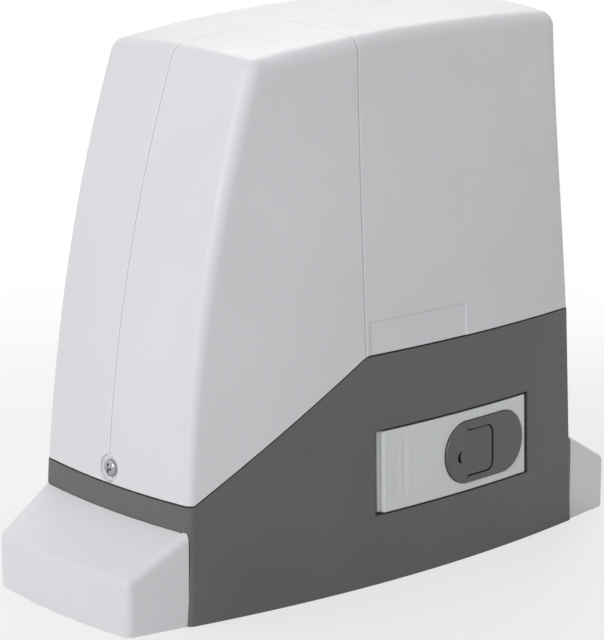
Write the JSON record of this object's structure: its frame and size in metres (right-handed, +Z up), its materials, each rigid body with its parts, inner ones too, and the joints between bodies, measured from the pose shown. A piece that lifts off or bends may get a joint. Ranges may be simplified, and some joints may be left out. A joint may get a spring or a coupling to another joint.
{
  "type": "sliding gate motor",
  "caption": "Floor-standing sliding gate motor: dark cast base, light domed cover, foot covers, lockable swing-out release lever with oval key plate, and a rear drive pinion.",
  "frame": {"origin": "middle of the base's underside, in plan and on the floor it stands on", "axes": "+Z up, X along the gate's travel, -Y the front with the release lever, +Y the side with the pinion"},
  "size_m": [0.3572, 0.1913, 0.298],
  "materials": {
    "cast": "die-cast, painted dark grey, fine texture",
    "shell": "light grey moulded, fine satin texture",
    "lever": "light grey moulded, satin",
    "lock_trim": "dark grey moulded, satin",
    "steel": "turned and ground",
    "zinc": "zinc plated",
    "bronze": "machined bronze",
    "brass": "turned",
    "copper": "turned copper",
    "rubber": "matt black",
    "paper": "oiled fibre",
    "motor_paint": "black, satin",
    "magnet": "ferrite, matt",
    "core": "laminated steel",
    "battery_case": "moulded, matt",
    "tray": "moulded black",
    "pcb": "green solder mask",
    "component": "moulded black",
    "terminal": "moulded green",
    "display": "display glass in a frame",
    "charger": "pressed case, plain"
  },
  "bodies": {
    "base": {"base_housing": "cast", "gearcase_lid": "cast", "lid_gasket": "paper", "lid_screws": "zinc", "lever_hinge_pin": "steel", "oil_plug": "brass", "cable_grommet": "rubber", "output_front_bearing": "steel", "output_rear_bearing": "steel", "shaft_seal": "rubber", "worm_bearings": "steel", "motor_flange": "cast", "motor_can": "motor_paint", "motor_cap": "cast", "motor_magnets": "magnet", "motor_brushes": "component", "speed_sensor": "component", "battery": "battery_case", "battery_terminals": "zinc", "controller_tray": "tray", "control_board": "pcb", "board_terminals": "terminal", "board_relays": "component", "board_capacitor": "component", "board_display": "display", "charger": "charger", "origin_sensor": "lock_trim"},
    "cover": {"cover": "shell", "cover_screws": "zinc", "cover_nuts": "zinc"},
    "foot_cover_left": {"foot_cover_left": "shell"},
    "foot_cover_right": {"foot_cover_right": "shell"},
    "release_lever": {"release_lever": "lever", "release_cam": "steel", "lock_escutcheon": "lock_trim", "lock_barrel": "brass", "lock_nut": "zinc"},
    "key_shutter": {"key_shutter": "lock_trim"},
    "lock_plug": {"lock_plug": "brass", "lock_cam": "steel"},
    "release_fork": {"release_rod": "steel", "release_fork": "steel"},
    "clutch_dog": {"clutch_dog": "steel"},
    "rotor": {"worm_shaft": "steel", "armature": "core", "commutator": "copper", "encoder_disc": "magnet"},
    "worm_wheel": {"worm_wheel": "bronze"},
    "output_shaft": {"output_shaft": "steel", "output_pinion": "steel", "clutch_key": "steel", "pinion_key": "steel", "wheel_clip": "steel", "pinion_washer": "zinc", "pinion_bolt": "zinc"}
  },
  "joints": [
    {"name": "cover_lift", "type": "slide", "parent": "base", "child": "cover", "axis": [0, 0, 1], "range_m": [0, 0.2]},
    {"name": "foot_cover_left_pull", "type": "slide", "parent": "base", "child": "foot_cover_left", "axis": [-1, 0, 0], "range_m": [0, 0.04]},
    {"name": "foot_cover_right_pull", "type": "slide", "parent": "base", "child": "foot_cover_right", "axis": [1, 0, 0], "range_m": [0, 0.04]},
    {"name": "lever_hinge", "type": "hinge", "parent": "base", "child": "release_lever", "pos_m": [-0.01, -0.0642, 0.06], "axis": [0, 0, 1], "range_deg": [-90, 0]},
    {"name": "shutter_slide", "type": "slide", "parent": "release_lever", "child": "key_shutter", "axis": [-0.9977, -0.0678, 0], "range_m": [0, 0.016]},
    {"name": "key_turn", "type": "hinge", "parent": "release_lever", "child": "lock_plug", "pos_m": [0.057, -0.065, 0.06], "axis": [0, -1, 0], "range_deg": [0, 90]},
    {"name": "fork_slide", "type": "slide", "parent": "base", "child": "release_fork", "axis": [0, 1, 0], "range_m": [0, 0.0044]},
    {"name": "rotor_spin", "type": "hinge", "parent": "base", "child": "rotor", "pos_m": [0.0835, -0.014, 0.062], "axis": [0, 0, 1], "continuous": true},
    {"name": "wheel_spin", "type": "hinge", "parent": "base", "child": "worm_wheel", "pos_m": [0.034, 0, 0.062], "axis": [0, 1, 0], "continuous": true},
    {"name": "output_spin", "type": "hinge", "parent": "base", "child": "output_shaft", "pos_m": [0.034, 0, 0.062], "axis": [0, 1, 0], "continuous": true},
    {"name": "dog_slide", "type": "slide", "parent": "output_shaft", "child": "clutch_dog", "axis": [0, 1, 0], "range_m": [0, 0.0044]}
  ],
  "couplings": [
    {"joint": "fork_slide", "follows": "lever_hinge", "m_per_rad": -0.0028},
    {"joint": "dog_slide", "follows": "lever_hinge", "m_per_rad": -0.0028},
    {"joint": "wheel_spin", "follows": "rotor_spin", "ratio": 0.033333},
    {"joint": "output_spin", "follows": "rotor_spin", "ratio": 0.033333}
  ]
}
